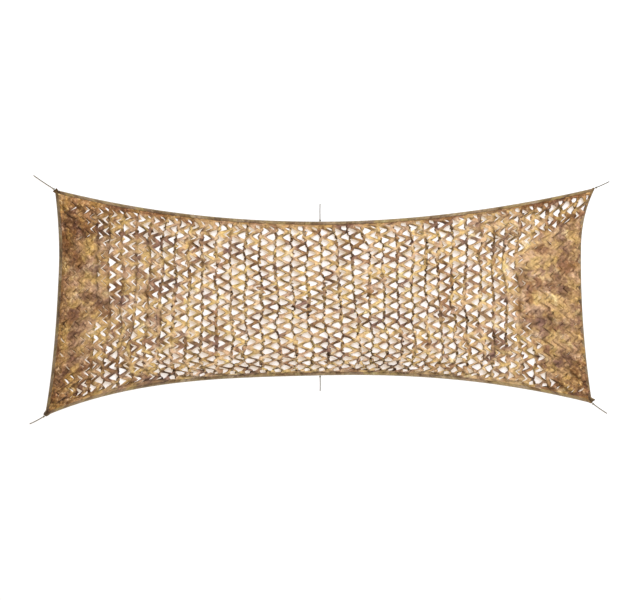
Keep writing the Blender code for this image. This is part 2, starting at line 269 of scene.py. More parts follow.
def between_tones(finish, value, tones):
    """A colour that runs from one tone to the next as a value rises between the places they stand at."""
    toned = node(finish, "ValToRGB", {"Fac": value})["Color"]
    for stop, (at, tone) in zip(toned.node.color_ramp.elements, tones.items()):
        stop.position = at
        stop.color = (*tone, 1)
    return toned


cord_finish, cord_shader = new_finish("braided_olive_cord", CORD_LOOKS)
place = node(cord_finish, "TexCoord", {})["Object"]
fibres = node(cord_finish, "TexNoise", {"Vector": place, **CORD_FIBRES})["Fac"]
soil = node(cord_finish, "TexNoise", {"Vector": place, **CORD_SOIL})["Fac"]
tint = between_tones(cord_finish, times(cord_finish, fibres, soil), CORD_TONES)
fibre_relief = node(cord_finish, "Bump", {"Height": fibres, **CORD_FIBRE_RELIEF})["Normal"]
feed(cord_shader, {"Base Color": tint, "Normal": fibre_relief})

cords = {}
for name, tie in TIES.items():
    line = tie_line(tie)
    points, faces, shares = tube(line, CORD / 2, CORD_SIDES, braid)
    cord = piece(f"tie_cord_{name}", points, faces, cord_finish, shares)
    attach(cord, "root")
    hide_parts(f"tie_{name}")
    cords[name] = (cord, line)

# ---- Hitches ----
# Each cord is knotted on itself where it holds the bound edge: a plain overhand knot in the same dark olive
# cord, pulled tight against the binding.
KNOT_POINTS = 72
KNOT_TWIST = 3
HITCH_SIDES = 8


def overhand(centre, way):
    """The closed run of an overhand knot: three lobes that pass over and under each other."""
    turn = np.linspace(0, 2 * math.pi, KNOT_POINTS + 1)
    along = (np.sin(turn) + 2 * np.sin(2 * turn)) / 3 * (HITCH["long"] - HITCH["rope"])
    aside = (np.cos(turn) - 2 * np.cos(2 * turn)) / 3 * (HITCH["wide"] - HITCH["rope"])
    up = -np.sin(KNOT_TWIST * turn) * (HITCH["high"] - HITCH["rope"])
    flat_x = centre[0] + along * way[0] - aside * way[1]
    flat_y = centre[1] + along * way[1] + aside * way[0]
    return np.column_stack([flat_x, flat_y, centre[2] + up])


def length_of(line):
    """The length of a line of points."""
    return float(np.linalg.norm(np.diff(line, axis=0), axis=1).sum())


for name, tie in TIES.items():
    edge, way = tie_start(tie)
    centre = np.array((*(edge + way * HITCH["long"]), HITCH["high"]))
    points, faces, shares = tube(overhand(centre, way), HITCH["rope"], HITCH_SIDES)
    hitch = piece(f"hitch_knot_{name}", points, faces, cord_finish, shares)
    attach(hitch, "root")
    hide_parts(f"hitch_{name}")
    cord, line = cords[name]

# ---- The net ----
# One piece of thin matt polyester cloth, printed with soft desert camouflage. Lines of short zigzag slits are
# cut across its width, and as it is pulled lengthwise they open into rows of pointed gaps: every second strip
# turns on edge and the ones between spread. Nothing is cut away, so the ends stay closed and crumpled.
FLAT_LONG = 4.90
FLAT_WIDE = 2.02
PERIODS = 38
ROWS = 16
STRIPS = 2 * PERIODS
STEPS_A_ROW = 8
STEPS = ROWS * STEPS_A_ROW
ACROSS = 3
ZIGZAG = 0.074
FLAT_STRIP_SHARE = 0.565
SLIT_STEPS = 2
MARGIN = 5
STRETCH = {"middle": 0.46, "spread": 0.20, "gain": 0.236, "hem_share": 0.20}
STRETCH_STEPS = 400
ROW_CROWDING = {"ends": -0.04, "middle": 0.12}
LOW_CROWDING = {"share": 0.22, "deep": 0.045, "gain": 3}
DRIFT = 0.024
# How far the slits are open, 0 to 1, between the closed left end and the closed right end. Such a curve is a
# row of points: a share of the net's length or width, and the value there.
OPEN_FROM = ((0.0, 0.014), (0.12, 0.034), (0.35, 0.050), (0.55, 0.060), (0.80, 0.050), (1.0, 0.025))
OPEN_TO = (
    (0.0, 0.962), (0.12, 0.945), (0.30, 0.912), (0.55, 0.900),
    (0.76, 0.915), (0.86, 1.000), (1.0, 1.060),
)
OPEN_SLOPE = 0.060
OPEN_DEEP = (
    (0.0, 0.60), (0.08, 0.52), (0.18, 0.59), (0.26, 0.87), (0.42, 0.99),
    (0.66, 0.94), (0.84, 0.67), (0.92, 0.70), (1.0, 0.92),
)
OPEN_UNEVEN = {"broad": 0.20, "broad_cells": (30, 11), "cell": 0.17}
HEM_SHUT = {"share": 0.16, "wide": 0.10}
# How much of a period a spread strip takes up, seen from above. It is drawn narrow at the right end.
STRAND = ((0.0, 0.42), (0.12, 0.40), (0.35, 0.32), (0.60, 0.32), (0.84, 0.34), (0.94, 0.28), (1.0, 0.27))
LOW_ROWS = {"share": 0.30, "strand": 0.35, "open": 0.15, "lean": 0.09}
FAR_CORNER = {"along": 0.86, "along_fade": 0.10, "across": 0.72, "across_fade": 0.14, "lean": 0.17}
LEAN = 0.05
EDGE_THICK = 0.007
WAVER = {"wide": 0.015, "cells": (34, 12), "hem_fade": 0.1, "end_fade": 0.08}
SLIT_CELLS = (STRIPS, 2 * ROWS + 1)
TURNED = {"cells": (16, 6), "other_way": -0.9, "rise": 0.6, "dip": 0.016, "when_shut": 0.15}
CRUMPLE = ((0.0, 0.0030), (0.10, 0.0035), (0.85, 0.003), (0.92, 0.010), (1.0, 0.010))
CRUMPLE_CORNER = {"high": 0.008, "reach": 0.45}
LIP = {"over": 0.014, "under": 0.006, "mean": 0.5, "most": 1.5, "smooth_end": 0.060, "fade": 0.03}
OVERLAP = {"up_to": 0.35, "rare": 0.45, "fade": 0.4, "wide": 0.0025, "high": 0.0050}
CORNER_FOLDS = {
    "top_left": {"high": 0.016, "reach": 0.42, "count": 13, "turn": 0.4},
    "bottom_left": {"high": 0.014, "reach": 0.34, "count": 13, "turn": 1.1},
    "bottom_right": {"high": 0.014, "reach": 0.34, "count": 14, "turn": 2.0},
}
FOLD_STARTS = {"from_edge": 0.03, "fade": 0.06}
# How much painted shade the print takes, 0 to 1: where the cloth lies gathered in more than one layer at the
# ends and the corners, and along the top hem. It is painted deeper and warmer in colour there.
GATHERED_SHADE = (
    (0.0, 0.98), (0.012, 0.90), (0.03, 0.66), (0.16, 0.24),
    (0.30, 0.0), (0.80, 0.0), (0.90, 0.30), (1.0, 0.68),
)
GATHERED_SHADE_AT = {"top_left": 0.95, "top_right": -0.15, "bottom_left": 0.60, "bottom_right": 0.35}
GATHERED_SHADE_REACH = 0.40
TOP_HEM_SHADE = {"share": 0.95, "wide": 0.085}
NET_THICK = 0.0006
NET_HIGH = 0.022
EDGE_HIGH = 0.0026
TUCKED = 0.003
LOWEST = 0.0008
HIGHEST = 0.0450
RELAX_ROUNDS = 500
FIRM = {"cloth": 0.9, "skew": 0.5, "bend": 0.10, "over_cut": 0.05, "hold": 0.02, "hold_open": 0.10}
PINNED_ROWS = 4
PINNED_ENDS = 2
NO_LENGTH = 1e-9
RIM_POINTS = 200
SEED = 41


def on_ground(along, across):
    """Places on the ground, from shares of the net's length and width: its four sides carried inwards."""
    low, high = side_point("bottom", along), side_point("top", along)
    left, right = side_point("left", across), side_point("right", across)
    along, across = np.asarray(along)[..., None], np.asarray(across)[..., None]
    ends = {name: np.array(place) for name, place in CORNERS.items()}
    flat = (1 - across) * ((1 - along) * ends["bottom_left"] + along * ends["bottom_right"])
    flat = flat + across * ((1 - along) * ends["top_left"] + along * ends["top_right"])
    return (1 - across) * low + across * high + (1 - along) * left + along * right - flat


def smooth_step(value):
    """Eases in and out from 0 to 1 as a value runs from 0 to 1."""
    value = np.clip(value, 0, 1)
    return value * value * (3 - 2 * value)


def bell(away, reach):
    """A share that is 1 at a place and dies out away from it."""
    return np.exp(-((away / reach) ** 2))


def fading(most, far, reach):
    """A value that is at its most in one spot, keeps up over its reach and fades beyond."""
    return most / (1 + (far / reach) ** 4)


def follow(curve, at):
    """The value of a curve of points, at any place along it."""
    places, values = zip(*curve)
    return np.interp(at, places, values)


fine = (np.arange(STRETCH_STEPS) + 0.5) / STRETCH_STEPS
opening = 1 + STRETCH["gain"] * bell(fine - STRETCH["middle"], STRETCH["spread"])
opened_share = np.concatenate([[0.0], np.cumsum(1 / opening)])
opened_share /= opened_share[-1]


def stretched(along, across):
    """Where the flat shares lie once the net is pulled open: even at the hem, wide open in the middle."""
    inward = smooth_step(np.minimum(across, 1 - across) / STRETCH["hem_share"])
    opened = np.interp(along, opened_share, np.linspace(0, 1, STRETCH_STEPS + 1))
    along = along + inward * (opened - along)
    pull = bell(along - STRETCH["middle"], STRETCH["spread"])
    crowding = ROW_CROWDING["ends"] + ROW_CROWDING["middle"] * pull
    across = across + crowding * np.sin(2 * math.pi * across) / (2 * math.pi)
    low = smooth_step(across / LOW_CROWDING["share"]) * (1 - across)
    across = across - np.minimum(LOW_CROWDING["gain"] * pull, 1) * LOW_CROWDING["deep"] * low
    return on_ground(along + DRIFT * pull * (0.5 - across), across)


chance = np.random.default_rng(SEED)


def soft_noise(cells, shape):
    """Seeded noise that changes slowly over its cells, mostly between -1 and 1."""
    columns, rows = cells
    coarse = chance.normal(size=cells)
    x = np.linspace(0, columns - 1, shape[0])
    y = np.linspace(0, rows - 1, shape[1])
    part = np.array([np.interp(y, np.arange(rows), row) for row in coarse])
    return np.array([np.interp(x, np.arange(columns), part[:, number]) for number in range(shape[1])]).T


# The flat cloth: each strip between two cut lines is its own band of points, four across.
grid = (STRIPS, STEPS + 1)
station = np.arange(STEPS + 1)
in_row = station / STEPS_A_ROW
wave = 1 - 4 * np.abs(in_row - np.round(in_row))
pitch = FLAT_LONG / PERIODS
cut = np.arange(STRIPS + 1)
line_at = cut // 2 * pitch + cut % 2 * FLAT_STRIP_SHARE * pitch
line_at = line_at + (1 - FLAT_STRIP_SHARE) / 2 * pitch
cut_line = line_at[:, None] + ZIGZAG / 2 * wave
cut_line[0] = 0.0
cut_line[-1] = FLAT_LONG
mix = (np.arange(ACROSS + 1) / ACROSS)[None, :, None]
flat_x = cut_line[:-1, None] * (1 - mix) + cut_line[1:, None] * mix
flat_y = np.broadcast_to(station * FLAT_WIDE / STEPS, flat_x.shape)
flat = np.stack([flat_x, flat_y], axis=-1)
share_x = flat_x / FLAT_LONG
share_y = flat_y / FLAT_WIDE
from_end = np.minimum(share_x, 1 - share_x)
from_hem = np.minimum(share_y, 1 - share_y)
closed_place = stretched(share_x, share_y)

# Where the net is drawn out, an even strip spans from one standing strip to the next, and an odd one stands.
strip = np.arange(STRIPS)
spread_strip = (strip % 2 == 0)[:, None, None]
near_line = ((strip + 1) // 2 * pitch)[:, None, None]
run = (1 + wave) / 2
low_rows = 1 - smooth_step(share_y / LOW_ROWS["share"])
strand = follow(STRAND, share_x) * (1 - LOW_ROWS["strand"] * low_rows)
far_along = smooth_step((share_x - FAR_CORNER["along"]) / FAR_CORNER["along_fade"])
far_across = smooth_step((share_y - FAR_CORNER["across"]) / FAR_CORNER["across_fade"])
lean = LEAN + FAR_CORNER["lean"] * (far_along * far_across) + LOW_ROWS["lean"] * low_rows
swing = lean + (1 - 2 * lean) * (strand * mix + (1 - strand) * run)
sway = lean * (1 - 2 * run)
open_x = near_line + pitch * np.where(spread_strip, swing, sway)
open_place = stretched(np.clip(open_x / FLAT_LONG, 0, 1), share_y)
open_place[..., 0] += np.where(spread_strip, 0, EDGE_THICK) * (mix - 0.5)

# The slits open between the two ends, a little unevenly, and less along the hem.
since = share_x - follow(OPEN_FROM, share_y)
until = follow(OPEN_TO, share_y) - share_x
openness = smooth_step(np.minimum(since, until) / OPEN_SLOPE) * follow(OPEN_DEEP, share_x)
uneven = OPEN_UNEVEN["broad"] * soft_noise(OPEN_UNEVEN["broad_cells"], grid)
uneven += OPEN_UNEVEN["cell"] * soft_noise(SLIT_CELLS, grid)
openness = openness * (1 + LOW_ROWS["open"] * low_rows)
openness = openness * (1 - HEM_SHUT["share"] * (1 - smooth_step(from_hem / HEM_SHUT["wide"])))
openness = np.clip(openness + np.sqrt(np.clip(openness, 0, 1)) * uneven[:, None], 0, 1)
waver = WAVER["wide"] * soft_noise(WAVER["cells"], grid)[:, None] * smooth_step(from_hem / WAVER["hem_fade"])
waver = waver * smooth_step(from_end / WAVER["end_fade"])
open_place[..., 0] += waver
closed_place[..., 0] += waver
place_wanted = closed_place + openness[..., None] * (open_place - closed_place)

# Even lines keep their slits where the zigzag points right, odd lines where it points left.
half_row = STEPS_A_ROW // 2
slit_at = np.where(cut[1:-1, None] % 2 == 0, 0, half_row)
from_slit = np.abs((station - slit_at + half_row) % STEPS_A_ROW - half_row)
joined = (from_slit > SLIT_STEPS).astype(float)
joined[:, :MARGIN] = 1.0
joined[:, -MARGIN:] = 1.0

# A standing strip is the flat strip turned on edge about its joints, so its points stand up and hang down in
# turn. A spread strip dips at its inner points.
turn_way = np.where(soft_noise(TURNED["cells"], grid) > TURNED["other_way"], 1.0, -1.0)[:, None]
from_joint = flat_x - (line_at[:-1] + line_at[1:])[:, None, None] / 2
stand = NET_HIGH + turn_way * TURNED["rise"] * from_joint
dip = NET_HIGH - turn_way * TURNED["dip"] * ((1 - mix) * run - mix * (1 - run))
height = np.where(spread_strip, dip, stand)
height = NET_HIGH + (height - NET_HIGH) * (TURNED["when_shut"] + (1 - TURNED["when_shut"]) * openness)
crumple = follow(CRUMPLE, share_x)
for name in CORNER_FOLDS:
    corner_x = float("right" in name)
    corner_y = float("top" in name)
    far = np.hypot((share_x - corner_x) * FLAT_LONG, (share_y - corner_y) * FLAT_WIDE)
    crumple = crumple + fading(CRUMPLE_CORNER["high"], far, CRUMPLE_CORNER["reach"])
lift = (1 - joined) * np.clip(LIP["mean"] + soft_noise(SLIT_CELLS, grid)[1:], 0, LIP["most"])
lift = lift * smooth_step((share_x[1:, 0] - LIP["smooth_end"]) / LIP["fade"])
lip = np.zeros_like(height)
lip[:-1, ACROSS] += LIP["over"] * lift
lip[1:, 0] -= LIP["under"] * lift
height = height + (1 - openness) * lip
height = height + crumple * chance.normal(size=height.shape)
net = np.concatenate([place_wanted, height[..., None]], axis=-1).astype(np.float32)


def rest_length(a, b):
    """How far apart the points lie on the flat cloth."""
    return np.linalg.norm(a - b, axis=-1).astype(np.float32)


def draw(a, b, rest, firm, only_apart):
    """Moves two sets of points towards their rest distance, each by half, or only apart when too close."""
    gap = b - a
    length = np.sqrt(np.einsum("...i,...i->...", gap, gap)) + NO_LENGTH
    off = (length - rest) / length
    if only_apart:
        off = np.minimum(off, 0)
    move = gap * (0.5 * firm * off)[..., None]
    a += move
    b -= move


# The cloth is let go like a mesh of springs: its threads and its skew keep their lengths, it folds but does
# not crease sharply, and its sewn edges stay where they are pinned.
pairs = []
for column in range(ACROSS):
    pairs.append((np.s_[:, column], np.s_[:, column + 1], FIRM["cloth"], False))
for parity in (0, 1):
    pairs.append((np.s_[:, :, parity : STEPS : 2], np.s_[:, :, parity + 1 :: 2], FIRM["cloth"], False))
for column in range(ACROSS):
    pairs.append((np.s_[:, column, :-1], np.s_[:, column + 1, 1:], FIRM["skew"], False))
    pairs.append((np.s_[:, column, 1:], np.s_[:, column + 1, :-1], FIRM["skew"], False))
for start in (0, 1, 2, 3):
    pairs.append((np.s_[:, :, start : STEPS - 1 : 4], np.s_[:, :, start + 2 :: 4], FIRM["bend"], True))
for column in range(ACROSS - 1):
    pairs.append((np.s_[:, column], np.s_[:, column + 2], FIRM["bend"], True))
bonds = [(a, b, rest_length(flat[a], flat[b]), firm, only_apart) for a, b, firm, only_apart in pairs]
over_bond = rest_length(flat[:-1, ACROSS - 1], flat[1:, 1])
keep = joined[..., None].astype(np.float32)
place_wanted = place_wanted.astype(np.float32)
hold = (FIRM["hold"] + FIRM["hold_open"] * openness)[..., None].astype(np.float32)
pinned = (
    np.s_[:, :, :PINNED_ROWS],
    np.s_[:, :, -PINNED_ROWS:],
    np.s_[:1, :PINNED_ENDS],
    np.s_[-1:, -PINNED_ENDS:],
)
for _ in range(RELAX_ROUNDS):
    for first, second, rest, firm, only_apart in bonds:
        draw(net[first], net[second], rest, firm, only_apart)
    left_side, right_side = net[:-1, ACROSS], net[1:, 0]
    middle = (left_side + right_side) / 2
    left_side += keep * (middle - left_side)
    right_side += keep * (middle - right_side)
    before, after = net[:-1, ACROSS - 1], net[1:, 1]
    gap = after - before
    length = np.sqrt((gap**2).sum(-1)) + NO_LENGTH
    short = np.minimum((length - over_bond) / length, 0)
    push = gap * (FIRM["over_cut"] * short * joined)[..., None].astype(np.float32)
    before += push
    after -= push
    net[..., :2] += hold * (place_wanted - net[..., :2])
    high = net[..., 2]
    np.clip(high, LOWEST, HIGHEST, out=high)
    for edge in pinned:
        net[edge][..., :2] = place_wanted[edge]
        net[edge][..., 2] = EDGE_HIGH

# Where the net stays closed, the lips of nearly every slit lie over each other.
shut = (1 - joined) * smooth_step(1 - openness[:-1, ACROSS] / OVERLAP["up_to"])
shut = shut * smooth_step((OVERLAP["rare"] - soft_noise(SLIT_CELLS, grid)[1:]) / OVERLAP["fade"])
left_side, right_side = net[:-1, ACROSS], net[1:, 0]
middle = (left_side + right_side) / 2
lap = np.array((OVERLAP["wide"], 0, OVERLAP["high"]))
left_side += (shut[..., None] * (middle - left_side + lap)).astype(np.float32)
right_side += (shut[..., None] * (middle - right_side - lap)).astype(np.float32)
np.clip(net[..., 2], LOWEST, HIGHEST, out=net[..., 2])

# The net's cut edges end inside the fold of the bindings.
for side in ("left", "right", "bottom", "top"):
    axis = 0 if side in ("left", "right") else 1
    inward = SIDES[side]["way"][axis]
    rim = side_point(side, np.linspace(0, 1, RIM_POINTS))
    bound = np.interp(net[..., 1 - axis], rim[:, 1 - axis], rim[:, axis]) + TUCKED * inward
    net[..., axis] = np.maximum(net[..., axis], bound) if inward > 0 else np.minimum(net[..., axis], bound)

# Folds run out over the closed ends from the corners, where the hitches draw the cloth together.
from_edge = np.minimum(from_end * FLAT_LONG, from_hem * FLAT_WIDE)
clear_of_edge = smooth_step((from_edge - FOLD_STARTS["from_edge"]) / FOLD_STARTS["fade"])
for name, fold in CORNER_FOLDS.items():
    away = net[..., :2] - np.array(CORNERS[name])
    far = np.linalg.norm(away, axis=-1)
    ridge = np.cos(fold["count"] * np.arctan2(away[..., 1], away[..., 0]) + fold["turn"])
    rise = fold["high"] * np.clip(ridge, 0, 1) * clear_of_edge * bell(far, fold["reach"])
    net[..., 2] = np.minimum(net[..., 2] + rise, HIGHEST)
# The print's painted shade, 0 to 1: at the closed ends, near the corners and along the top hem.
gathered_shade = follow(GATHERED_SHADE, share_x)
for name, share in GATHERED_SHADE_AT.items():
    far = np.linalg.norm(net[..., :2] - np.array(CORNERS[name]), axis=-1)
    gathered_shade = gathered_shade + fading(share, far, GATHERED_SHADE_REACH)
gathered_shade = gathered_shade + TOP_HEM_SHADE["share"] * bell((1 - share_y) * FLAT_WIDE, TOP_HEM_SHADE["wide"])
gathered_shade = np.clip(gathered_shade, 0, 1)

# The strips become one mesh, joined along the uncut parts of every line.
number = np.arange(flat_x.size).reshape(flat_x.shape)
same = joined.astype(bool)
number[1:, 0][same] = number[:-1, ACROSS][same]
used, compact = np.unique(number, return_inverse=True)
compact = compact.reshape(number.shape)
points = net.reshape(-1, 3)[used]
shares = flat.reshape(-1, 2)[used]
gathered_shade = gathered_shade.reshape(-1)[used]
near_side = [compact[:, :-1, :-1], compact[:, 1:, :-1]]
far_side = [compact[:, 1:, 1:], compact[:, :-1, 1:]]
net_faces = np.stack(near_side + far_side, axis=-1).reshape(-1, 4).tolist()

# The print: soft leafy-edged patches of tan, pale sand, brown, mauve brown and dark brown on sand. It is laid
# on the flat cloth before the slits are cut, so a patch runs on over neighbouring strips.
SAND = (0.620, 0.420, 0.195)
TAN = (0.540, 0.355, 0.200)
BROWN = (0.300, 0.160, 0.078)
MAUVE = (0.240, 0.136, 0.088)
DARK = (0.110, 0.056, 0.028)
PALE = (0.800, 0.630, 0.400)
PATCHES = (
    {"colour": TAN, "size": 4.6, "from": 0.38, "to": 0.60, "place": (0.0, 0.0, 0.0)},
    {"colour": PALE, "size": 7.0, "from": 0.52, "to": 0.70, "place": (3.1, 7.7, 0.0)},
    {"colour": BROWN, "size": 5.0, "from": 0.48, "to": 0.62, "place": (1.3, 12.9, 0.0)},
    {"colour": MAUVE, "size": 4.4, "from": 0.49, "to": 0.65, "place": (9.9, 21.1, 0.0)},
    {"colour": DARK, "size": 8.5, "from": 0.58, "to": 0.76, "place": (13.7, 5.3, 0.0)},
)
PATCH_GRAIN = {"Detail": 4.5, "Roughness": 0.60}
LEAFY = {"Scale": 16, "Detail": 3}
LEAFY_PUSH = (0.13, 0.13, 0.0)
FADE = {"Scale": 9.0, "Detail": 3}
FADE_TONES = {0.40: (1.00, 1.03, 0.85), 0.60: (0.98, 0.975, 1.13)}
MOTTLE = {"Scale": 36, "Detail": 4}
MOTTLE_RUN = {"of": (0.3, 0.7), "to": (0.68, 1.22)}
# Painted shade on steep sides: how far a point faces up, and the tone it keeps there.
STEEP_SIDE_SHADE = {"of": (0.30, 0.85), "to": (0.45, 1.0)}
GATHERED_SHADE_TINT = (0.52, 0.39, 0.275)
CREASES = {"Scale": 34.0, "Detail": 3, "Distortion": 1.0}
# Painted shade in the creases' hollows and painted highlights on their ridges, on gathered cloth.
CREASE_SHADE_AND_HIGHLIGHTS = {"of": (0.34, 0.66), "to": (0.50, 1.42)}
CREASE_RIDGES = {"of": (0.57, 0.68), "to": (0.0, 0.66)}
RIDGE_HIGHLIGHT_DIM = -0.45
RUMPLE_RELIEF = {"Strength": 0.8, "Distance": 0.012}
THREADS = 900.0
WEAVE_RELIEF = {"Strength": 0.25, "Distance": 0.0002}
CLOTH_LOOKS = {"Roughness": 0.86, "Specular IOR Level": 0.15, "Sheen Weight": 0.03, "Sheen Roughness": 0.5}


def carried(finish, value, of, to=(0.0, 1.0), how="LINEAR"):
    """A value's run, of one pair of ends, carried over to another pair."""
    inputs = {"Value": value, "From Min": of[0], "From Max": of[1], "To Min": to[0], "To Max": to[1]}
    return node(finish, "MapRange", inputs, interpolation_type=how)["Result"]


def laid_over(finish, under, over, share, how="MIX"):
    """A colour with another laid over it, or multiplied into it, as far as a share says."""
    inputs = {"Factor": share, "A": under, "B": over}
    return node(finish, "Mix", inputs, data_type="RGBA", blend_type=how)["Result"]


def camouflage(name, shade=1.0, worn_fold=None):
    """The printed cloth. shade darkens the whole print, and worn_fold is the rubbed tint of a tape's fold."""
    finish, shader = new_finish(name, CLOTH_LOOKS)
    cloth = node(finish, "UVMap", {}, uv_map="cloth")["UV"]
    leafy = node(finish, "TexNoise", {"Vector": cloth, **LEAFY})["Color"]
    push = {0: leafy, 1: LEAFY_PUSH, 2: cloth}
    pushed = node(finish, "VectorMath", push, operation="MULTIPLY_ADD")["Vector"]
    colour = (*SAND, 1)
    for patch in PATCHES:
        shifted = node(finish, "VectorMath", {0: pushed, 1: patch["place"]}, operation="ADD")["Vector"]
        spots = node(finish, "TexNoise", {"Vector": shifted, "Scale": patch["size"], **PATCH_GRAIN})["Fac"]
        inside = carried(finish, spots, (patch["from"], patch["to"]), how="SMOOTHSTEP")
        colour = laid_over(finish, colour, (*patch["colour"], 1), inside)
    fade = node(finish, "TexNoise", {"Vector": pushed, **FADE})["Fac"]
    colour = laid_over(finish, colour, between_tones(finish, fade, FADE_TONES), 1.0, "MULTIPLY")
    split = node(finish, "SeparateXYZ", {"Vector": cloth})
    if worn_fold:
        by_the_fold = carried(finish, split["Y"], worn_fold["of"], how="SMOOTHSTEP")
        worn = times(finish, by_the_fold, worn_fold["share"])
        colour = laid_over(finish, colour, (*worn_fold["colour"], 1), worn)

    # The tone: mottled all over, with painted shade that darkens the steep sides of strips and folds.
    mottle = node(finish, "TexNoise", {"Vector": cloth, **MOTTLE})["Fac"]
    tone = carried(finish, mottle, MOTTLE_RUN["of"], [shade * end for end in MOTTLE_RUN["to"]])
    facing = node(finish, "Attribute", {}, attribute_name="facing_up")["Fac"]
    tone = times(finish, tone, carried(finish, facing, **STEEP_SIDE_SHADE, how="SMOOTHSTEP"))

    # Where the cloth lies gathered it is creased, and painted shade makes its colour deeper and warmer, less
    # so on the creases' ridges.
    gathered_shade_share = node(finish, "Attribute", {}, attribute_name="gathered_shade")["Fac"]
    creases = node(finish, "TexNoise", {"Vector": cloth, **CREASES})["Fac"]
    ridges = carried(finish, creases, **CREASE_RIDGES)
    hollows = node(finish, "Math", {0: 1.0, 1: ridges}, operation="SUBTRACT")[0]
    colour = laid_over(finish, colour, (*GATHERED_SHADE_TINT, 1), times(finish, gathered_shade_share, hollows), "MULTIPLY")
    # Painted shade in the creases' hollows and painted highlights on their ridges, the ridges' tops a little
    # less bright.
    crease_shade_and_highlight = carried(finish, creases, **CREASE_SHADE_AND_HIGHLIGHTS)
    lit = node(finish, "Math", {0: ridges, 1: RIDGE_HIGHLIGHT_DIM, 2: crease_shade_and_highlight}, operation="MULTIPLY_ADD")[0]
    tone = times(finish, tone, node(finish, "Mix", {"Factor": gathered_shade_share, "A": 1.0, "B": lit})["Result"])
    toned = node(finish, "VectorMath", {0: colour, "Scale": tone}, operation="SCALE")["Vector"]
    rumple = node(finish, "Bump", {"Height": times(finish, creases, gathered_shade_share), **RUMPLE_RELIEF})["Normal"]

    # The plain weave, one thread over and one under.
    rows_of_threads = []
    for axis in ("X", "Y"):
        turns = times(finish, split[axis], THREADS * 2 * math.pi)
        rows_of_threads.append(node(finish, "Math", {0: turns}, operation="SINE")[0])
    weave = {"Height": times(finish, *rows_of_threads), "Normal": rumple, **WEAVE_RELIEF}
    feed(shader, {"Base Color": toned, "Normal": node(finish, "Bump", weave)["Normal"]})
    return finish


net_piece = piece("net", points, net_faces, camouflage("camouflage_print"), shares)
note(net_piece.data, "gathered_shade", gathered_shade)
cloth_body = net_piece.modifiers.new("thickness", "SOLIDIFY")
cloth_body.thickness = NET_THICK
cloth_body.offset = 0
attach(net_piece, "root")
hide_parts("net_panel")

# ---- The bindings ----
# Four tapes of the same printed cloth, folded in half over the net's cut edges. They are mitred at the
# corners, where their ends stand out as small ears, and pucker a little where the hem is drawn in.
BINDING = {"wide": 0.028, "thick": 0.0012, "low": 0.0004, "high": 0.0050, "step": 0.008}
ROLL = {"wide": 0.0045, "out": 0.0012, "bulge": 0.00054, "inside": 0.0036}
ROLL_POINTS = 7
LEG_POINTS = 5
EDGE_POINTS = 400
PUCKER = {"high": 0.0007, "wide": 0.0008, "every": 0.031, "across": 3}
# The tapes are darker than the net: partly their own darker print, and partly painted shade, which differs
# from side to side.
TAPE_SHADE = {"top": 0.43, "bottom": 0.44, "left": 0.31, "right": 0.40}
WORN_FOLD = {"colour": (0.600, 0.500, 0.300), "of": (0.013, 0.006), "share": 0.50}
EARS = {
    "top_left": {"long": (0.016, 0.0), "short": (0.020, 0.0)},
    "top_right": {"long": (0.006, 0.0), "short": (0.0, 0.0)},
    "bottom_left": {"long": (0.008, 0.006), "short": (0.014, 0.010)},
    "bottom_right": {"long": (0.004, 0.0), "short": (0.006, 0.030)},
}
EAR_STATIONS = (0.0, 0.014, 0.030, 0.052)
EAR_PRINT = 0.5
# How far the tapes' ends are drawn up where they meet at a corner, 0 to 1: their print gets painted shade
# there, deeper and warmer, with painted highlights on its creases.
TAPE_CORNER_SHADE = {"top_left": 1.0, "top_right": 0.55, "bottom_left": 0.75, "bottom_right": 0.85}
TAPE_CORNER_SHADE_REACH = 0.11


def binding_place(side, run, inset):
    """Where a point of a tape lies on the ground, from its share of the side and how far in it is."""
    if side in ("top", "bottom"):
        long_inset = inset / FLAT_LONG
        along = long_inset + run * (1 - 2 * long_inset)
        wide = np.linalg.norm(side_point("top", along) - side_point("bottom", along), axis=-1)
        across = inset / wide
        return on_ground(along, across if side == "bottom" else 1 - across)
    wide = np.linalg.norm(np.array(CORNERS[f"top_{side}"]) - np.array(CORNERS[f"bottom_{side}"]))
    across = inset / wide + run * (1 - 2 * inset / wide)
    long = np.linalg.norm(side_point("right", across) - side_point("left", across), axis=-1)
    along = inset / long
    return on_ground(along if side == "left" else 1 - along, across)


def fold_skin(low, high, out, bulge):
    """One face of the folded tape, a leg, the rolled fold and a leg: its places inwards and its heights."""
    turn = np.linspace(-math.pi / 2, math.pi / 2, ROLL_POINTS)[1:-1]
    leg = np.linspace(BINDING["wide"], ROLL["wide"], LEG_POINTS)
    inward = np.concatenate([leg, ROLL["wide"] - out * np.cos(turn), leg[::-1]])
    roll = (high + low) / 2 + ((high - low) / 2 + bulge) * np.sin(turn)
    return inward, np.concatenate([np.full(LEG_POINTS, low), roll, np.full(LEG_POINTS, high)])


def ear(side, run, length):
    """How far a tape's fold stands out past the corner at each end of a side."""
    kind = "long" if side in ("top", "bottom") else "short"
    out = 0
    for end, away in (("from", run * length), ("to", (1 - run) * length)):
        sizes = EARS[SIDES[side][end]][kind]
        out = out + np.interp(away, EAR_STATIONS, (0.0, *sizes, 0.0))
    return out


